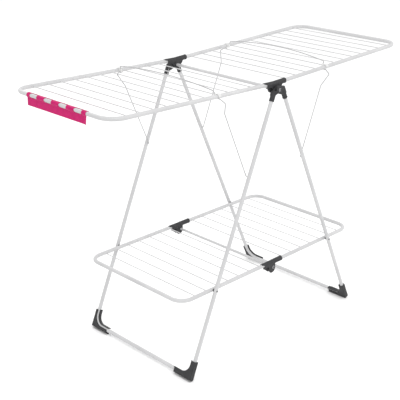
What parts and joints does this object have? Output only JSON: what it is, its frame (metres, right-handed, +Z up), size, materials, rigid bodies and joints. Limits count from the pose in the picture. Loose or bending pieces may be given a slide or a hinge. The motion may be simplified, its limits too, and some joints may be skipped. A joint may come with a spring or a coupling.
{
  "type": "clothes drying rack",
  "caption": "Free-standing winged drying rack: crossed folding leg frames, two drying wings of steel wire on tilting stays, and a lower wire shelf that folds in the middle.",
  "frame": {"origin": "on the floor, under the centre of the rack", "axes": "+X along the wings towards the wing without the hanger strip, +Y across the rack, +Z up"},
  "size_m": [1.5415, 0.591, 1.0924],
  "materials": {
    "white_powder_coat": "smooth white powder coat on steel tube and wire",
    "dark_grey_plastic": "dark grey moulded plastic, fine matt grain",
    "white_plastic": "white moulded plastic",
    "zinc_plated_steel": "zinc plated rivet head",
    "pink_plastic": "bright pink moulded plastic, satin gloss"
  },
  "bodies": {
    "right_legs": {"right_near_leg_tube": "white_powder_coat", "right_near_foot": "dark_grey_plastic", "right_near_leg_socket": "dark_grey_plastic", "right_near_shelf_bush": "dark_grey_plastic", "right_far_leg_tube": "white_powder_coat", "right_far_foot": "dark_grey_plastic", "right_far_leg_socket": "dark_grey_plastic", "right_far_shelf_bush": "dark_grey_plastic", "top_crossbar": "white_powder_coat", "near_axle_cap": "zinc_plated_steel", "far_axle_cap": "zinc_plated_steel"},
    "left_legs": {"left_near_leg_tube": "white_powder_coat", "left_near_foot": "dark_grey_plastic", "left_near_leg_socket": "dark_grey_plastic", "left_near_shelf_bush": "dark_grey_plastic", "left_far_leg_tube": "white_powder_coat", "left_far_foot": "dark_grey_plastic", "left_far_leg_socket": "dark_grey_plastic", "left_far_shelf_bush": "dark_grey_plastic"},
    "right_wing": {"right_wing_frame": "white_powder_coat", "near_wing_connector": "dark_grey_plastic", "far_wing_connector": "dark_grey_plastic", "right_wing_arch": "white_powder_coat", "right_near_arch_clip": "white_plastic", "right_far_arch_clip": "white_plastic"},
    "left_wing": {"left_wing_frame": "white_powder_coat", "near_wing_lug": "dark_grey_plastic", "far_wing_lug": "dark_grey_plastic", "left_wing_arch": "white_powder_coat", "left_near_arch_clip": "white_plastic", "left_far_arch_clip": "white_plastic", "hanger_strip": "pink_plastic"},
    "right_stays": {"right_near_stay_wire": "white_powder_coat", "right_far_stay_wire": "white_powder_coat"},
    "left_stays": {"left_near_stay_wire": "white_powder_coat", "left_far_stay_wire": "white_powder_coat"},
    "right_shelf": {"right_shelf_frame": "white_powder_coat", "near_shelf_connector": "dark_grey_plastic", "far_shelf_connector": "dark_grey_plastic", "shelf_crossbar": "white_powder_coat", "near_shelf_axle_cap": "zinc_plated_steel", "far_shelf_axle_cap": "zinc_plated_steel"},
    "left_shelf": {"left_shelf_frame": "white_powder_coat", "near_shelf_lug": "dark_grey_plastic", "far_shelf_lug": "dark_grey_plastic"}
  },
  "joints": [
    {"name": "leg_fold", "type": "hinge", "parent": "right_legs", "child": "left_legs", "pos_m": [0, 0, 1.0253], "axis": [0, -1, 0], "range_deg": [0, 42.2]},
    {"name": "right_wing_fold", "type": "hinge", "parent": "right_legs", "child": "right_wing", "pos_m": [0, 0, 1.0253], "axis": [0, 1, 0], "range_deg": [0, 64]},
    {"name": "left_wing_fold", "type": "hinge", "parent": "left_legs", "child": "left_wing", "pos_m": [0, 0, 1.0253], "axis": [0, -1, 0], "range_deg": [0, 64]},
    {"name": "right_stay_swing", "type": "hinge", "parent": "right_legs", "child": "right_stays", "pos_m": [0.15206, 0, 0.72527], "axis": [0, 1, 0], "range_deg": [0, 128]},
    {"name": "left_stay_swing", "type": "hinge", "parent": "left_legs", "child": "left_stays", "pos_m": [-0.15206, 0, 0.72527], "axis": [0, -1, 0], "range_deg": [0, 128]},
    {"name": "right_shelf_fold", "type": "hinge", "parent": "right_legs", "child": "right_shelf", "pos_m": [0.32677, 0, 0.3248], "axis": [0, 1, 0], "range_deg": [0, 63.05]},
    {"name": "left_shelf_fold", "type": "hinge", "parent": "right_shelf", "child": "left_shelf", "pos_m": [0, 0, 0.3053], "axis": [0, -1, 0], "range_deg": [0, 168.3]}
  ],
  "couplings": [
    {"joint": "right_stay_swing", "follows": "right_wing_fold", "ratio": 2},
    {"joint": "left_stay_swing", "follows": "left_wing_fold", "ratio": 2},
    {"joint": "right_shelf_fold", "follows": "leg_fold", "ratio": 1.4941},
    {"joint": "left_shelf_fold", "follows": "leg_fold", "ratio": 3.9882}
  ]
}
